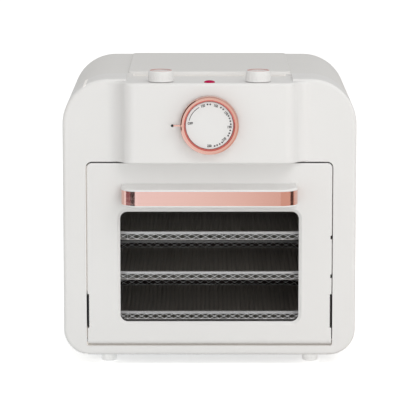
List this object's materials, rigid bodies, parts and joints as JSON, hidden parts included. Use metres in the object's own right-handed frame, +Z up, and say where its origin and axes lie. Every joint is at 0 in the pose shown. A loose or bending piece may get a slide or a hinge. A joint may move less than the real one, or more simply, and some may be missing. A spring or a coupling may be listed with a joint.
{
  "type": "air fryer toaster oven",
  "caption": "Rounded white counter-top air fryer oven with a bulged control panel, drop-down glass door, bowed metal-banded handle and mesh racks.",
  "frame": {"origin": "centre of the whole outline at the bottom of the feet", "axes": "+Z up, the door and controls face -Y, +X to the right seen from the front"},
  "size_m": [0.34, 0.324, 0.3474],
  "materials": {
    "white_housing": "smooth moulded, satin gloss",
    "white_shell": "satin powder coat",
    "white_foot": "pale soft moulding",
    "dark_liner": "dark non-stick coat",
    "steel": "plain sheet and rod",
    "heater": "oxidised tube",
    "motor": "plain painted",
    "black_plastic": "plain",
    "dial_print": "printed disc",
    "rose_gold": "polished rose-gold plating",
    "knob_cap": "satin",
    "lens": "translucent crimson",
    "glass": "clear toughened",
    "seal": "silicone",
    "rack_wire": "bright chromed wire and mesh"
  },
  "bodies": {
    "oven": {"front_housing": "white_housing", "housing_shell": "white_shell", "base_plate": "white_shell", "top_cover": "white_shell", "rear_cover": "white_shell", "cord_inlet": "black_plastic", "rear_screws": "steel", "feet": "white_foot", "cavity_liner": "dark_liner", "rack_guide_left": "steel", "rack_guide_right": "steel", "crumb_tray": "dark_liner", "fan_housing": "steel", "heater_coil": "heater", "fan_guard": "steel", "fan_motor": "motor", "motor_bridge": "steel", "thermostat": "black_plastic", "function_switch": "black_plastic", "timer": "black_plastic", "dial_face": "dial_print", "dial_post": "steel", "indicator_lens": "lens", "indicator_lamp": "black_plastic", "hinge_pins": "steel", "hinge_brackets": "steel", "hinge_springs": "steel"},
    "door": {"door_frame": "white_housing", "window_glass": "glass", "door_inner_panel": "dark_liner", "door_seal": "seal", "handle_grip": "white_housing", "handle_band": "rose_gold", "handle_screws": "steel", "door_hinge_arms": "steel"},
    "dial": {"dial_ring": "rose_gold", "dial_hub": "black_plastic", "dial_pointer": "rose_gold"},
    "function_control": {"function_knob": "white_housing", "function_knob_trim": "rose_gold", "function_knob_cap": "knob_cap", "function_knob_shaft": "steel"},
    "timer_control": {"timer_knob": "white_housing", "timer_knob_trim": "rose_gold", "timer_knob_cap": "knob_cap", "timer_knob_shaft": "steel"},
    "fan": {"convection_fan": "steel", "cooling_fan": "black_plastic", "fan_shaft": "steel"},
    "rack_top": {"rack_top_rim": "rack_wire", "rack_top_mesh": "rack_wire", "rack_top_wall": "rack_wire"},
    "rack_middle": {"rack_middle_rim": "rack_wire", "rack_middle_mesh": "rack_wire", "rack_middle_wall": "rack_wire"},
    "rack_bottom": {"rack_bottom_rim": "rack_wire", "rack_bottom_mesh": "rack_wire", "rack_bottom_wall": "rack_wire"}
  },
  "joints": [
    {"name": "door_hinge", "type": "hinge", "parent": "oven", "child": "door", "pos_m": [0, -0.123, 0.0298], "axis": [1, 0, 0], "range_deg": [0, 86], "stiffness_Nm_per_rad": 0.1, "springref_deg": -28.65},
    {"name": "dial_turn", "type": "hinge", "parent": "oven", "child": "dial", "pos_m": [0, -0.15, 0.2865], "axis": [0, 1, 0], "range_deg": [0, 270]},
    {"name": "function_turn", "type": "hinge", "parent": "oven", "child": "function_control", "pos_m": [-0.056, -0.132, 0.334], "axis": [0, 0, -1], "range_deg": [0, 180]},
    {"name": "timer_turn", "type": "hinge", "parent": "oven", "child": "timer_control", "pos_m": [0.056, -0.132, 0.334], "axis": [0, 0, -1], "range_deg": [0, 300]},
    {"name": "fan_spin", "type": "hinge", "parent": "oven", "child": "fan", "pos_m": [0, 0.012, 0.222], "axis": [0, 0, 1], "continuous": true},
    {"name": "rack_top_slide", "type": "slide", "parent": "oven", "child": "rack_top", "axis": [0, -1, 0], "range_m": [0, 0.1425]},
    {"name": "rack_middle_slide", "type": "slide", "parent": "oven", "child": "rack_middle", "axis": [0, -1, 0], "range_m": [0, 0.1125]},
    {"name": "rack_bottom_slide", "type": "slide", "parent": "oven", "child": "rack_bottom", "axis": [0, -1, 0], "range_m": [0, 0.027]}
  ],
  "couplings": [
    {"joint": "rack_top_slide", "follows": "door_hinge", "m_per_rad": 0.095},
    {"joint": "rack_middle_slide", "follows": "door_hinge", "m_per_rad": 0.075},
    {"joint": "rack_bottom_slide", "follows": "door_hinge", "m_per_rad": 0.018}
  ]
}
